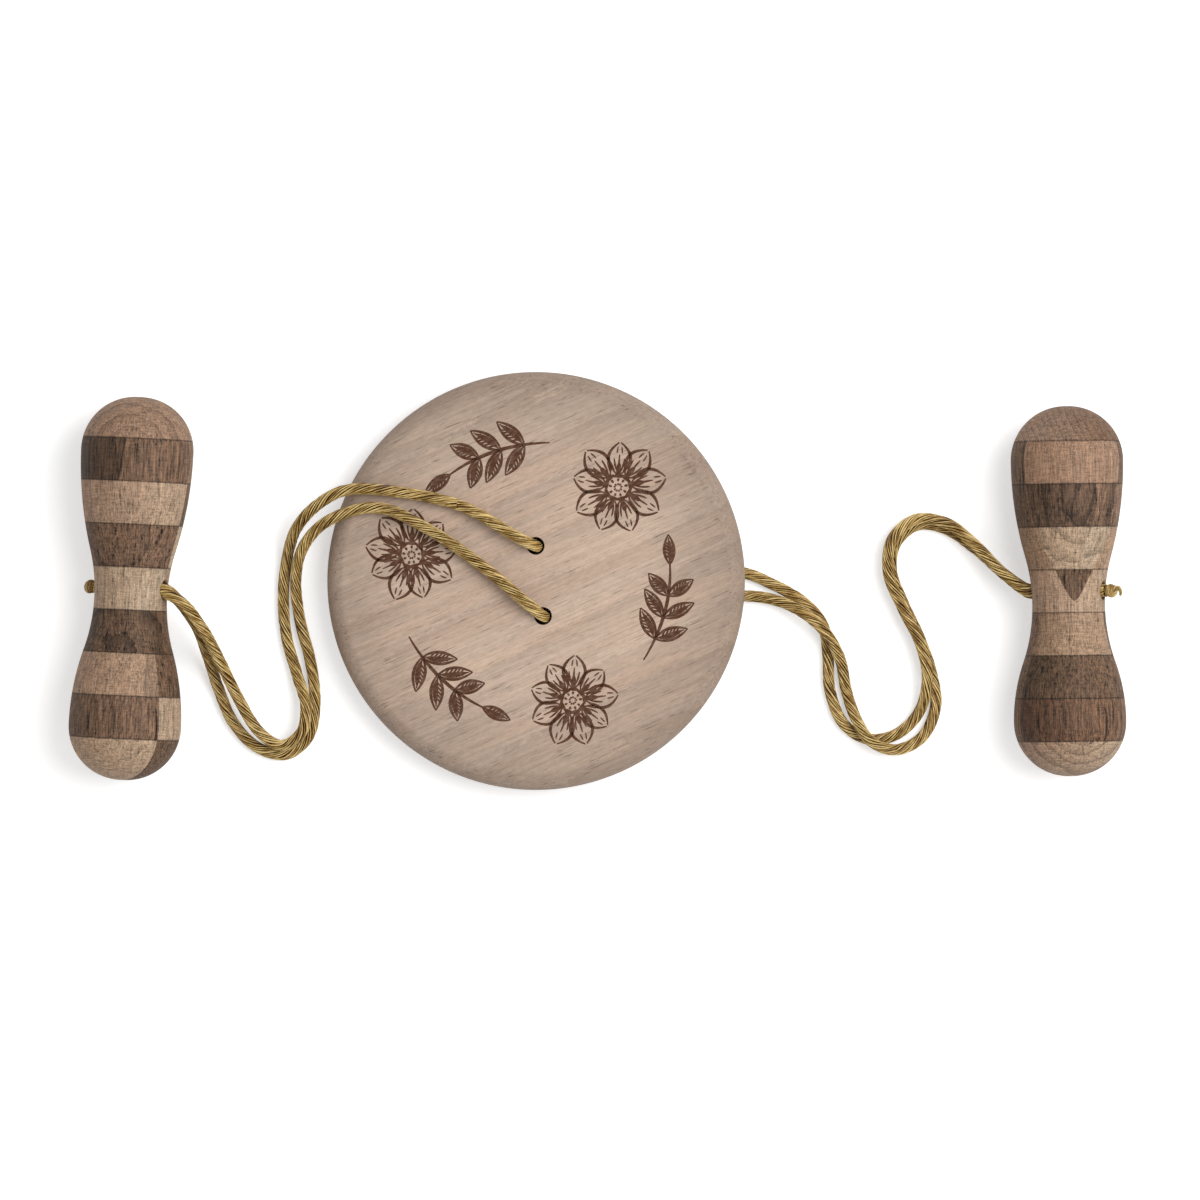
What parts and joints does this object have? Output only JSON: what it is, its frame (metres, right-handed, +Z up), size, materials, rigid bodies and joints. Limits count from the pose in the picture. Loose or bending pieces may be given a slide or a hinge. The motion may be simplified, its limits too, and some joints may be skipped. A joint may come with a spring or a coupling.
{
  "type": "buzz spinner toy",
  "caption": "Buzz spinner: a round wooden disc on twin cords strung between two waisted, lathe-turned wooden handles; pulling the handles apart spins the disc.",
  "frame": {"origin": "on the table under the middle of the box round the disc and the two handles, as the toy lies", "axes": "+X along the line of the handles, towards the right handle; +Y away from the viewer; +Z up"},
  "size_m": [0.24, 0.095, 0.0255],
  "materials": {
    "disc_wood": "sanded, unvarnished",
    "pale_wood": "sanded, oiled",
    "dark_wood": "sanded, oiled",
    "cord": "twisted cotton"
  },
  "bodies": {
    "cord": {"left_strand_a": "cord", "left_strand_b": "cord", "right_strand_a": "cord", "right_strand_b": "cord"},
    "disc": {"disc": "disc_wood", "disc_strand_a": "cord", "disc_strand_b": "cord"},
    "left_cord_end": {"left_bore_strand_a": "cord", "left_bore_strand_b": "cord", "left_knot": "cord"},
    "right_cord_end": {"right_bore_strand_a": "cord", "right_bore_strand_b": "cord", "right_knot": "cord"},
    "left_handle": {"left_front_block_1": "pale_wood", "left_front_block_2": "dark_wood", "left_front_block_3": "pale_wood", "left_front_block_4": "dark_wood", "left_front_block_5": "pale_wood", "left_front_block_6": "dark_wood", "left_front_block_7": "pale_wood", "left_front_block_8": "dark_wood", "left_front_block_9": "pale_wood", "left_back_block_1": "pale_wood", "left_back_block_2": "dark_wood", "left_back_block_3": "dark_wood", "left_back_block_4": "pale_wood", "left_back_block_5": "pale_wood", "left_back_block_6": "dark_wood", "left_back_block_7": "dark_wood", "left_back_block_8": "pale_wood", "left_back_block_9": "dark_wood"},
    "right_handle": {"right_front_block_1": "pale_wood", "right_front_block_2": "pale_wood", "right_front_block_3": "dark_wood", "right_front_block_4": "pale_wood", "right_front_block_5": "dark_wood", "right_front_block_6": "pale_wood", "right_front_block_7": "dark_wood", "right_front_block_8": "dark_wood", "right_front_block_9": "pale_wood", "right_back_block_1": "pale_wood", "right_back_block_2": "dark_wood", "right_back_block_3": "dark_wood", "right_back_block_4": "pale_wood", "right_back_block_5": "pale_wood", "right_back_block_6": "dark_wood", "right_back_block_7": "dark_wood", "right_back_block_8": "dark_wood", "right_back_block_9": "pale_wood"}
  },
  "joints": [
    {"name": "disc_spin", "type": "hinge", "parent": "cord", "child": "disc", "pos_m": [-0.0128, 0, 0.00861], "axis": [-0.0697, 0, 0.9976], "continuous": true, "deforming": ["left_strand_a", "left_strand_b", "right_strand_a", "right_strand_b"]},
    {"name": "left_handle_pull", "type": "slide", "parent": "cord", "child": "left_cord_end", "axis": [-1, 0, 0], "range_m": [0, 0.08], "deforming": ["left_strand_a", "left_strand_b"]},
    {"name": "right_handle_pull", "type": "slide", "parent": "cord", "child": "right_cord_end", "axis": [1, 0, 0], "range_m": [0, 0.08], "deforming": ["right_strand_a", "right_strand_b"]},
    {"name": "left_handle_swivel", "type": "hinge", "parent": "left_cord_end", "child": "left_handle", "pos_m": [-0.10583, -0.0017, 0.01275], "axis": [0.9387, -0.0426, 0.342], "continuous": true},
    {"name": "right_handle_swivel", "type": "hinge", "parent": "right_cord_end", "child": "right_handle", "pos_m": [0.10689, -0.0023, 0.01275], "axis": [0.9396, 0.0115, 0.342], "continuous": true}
  ]
}
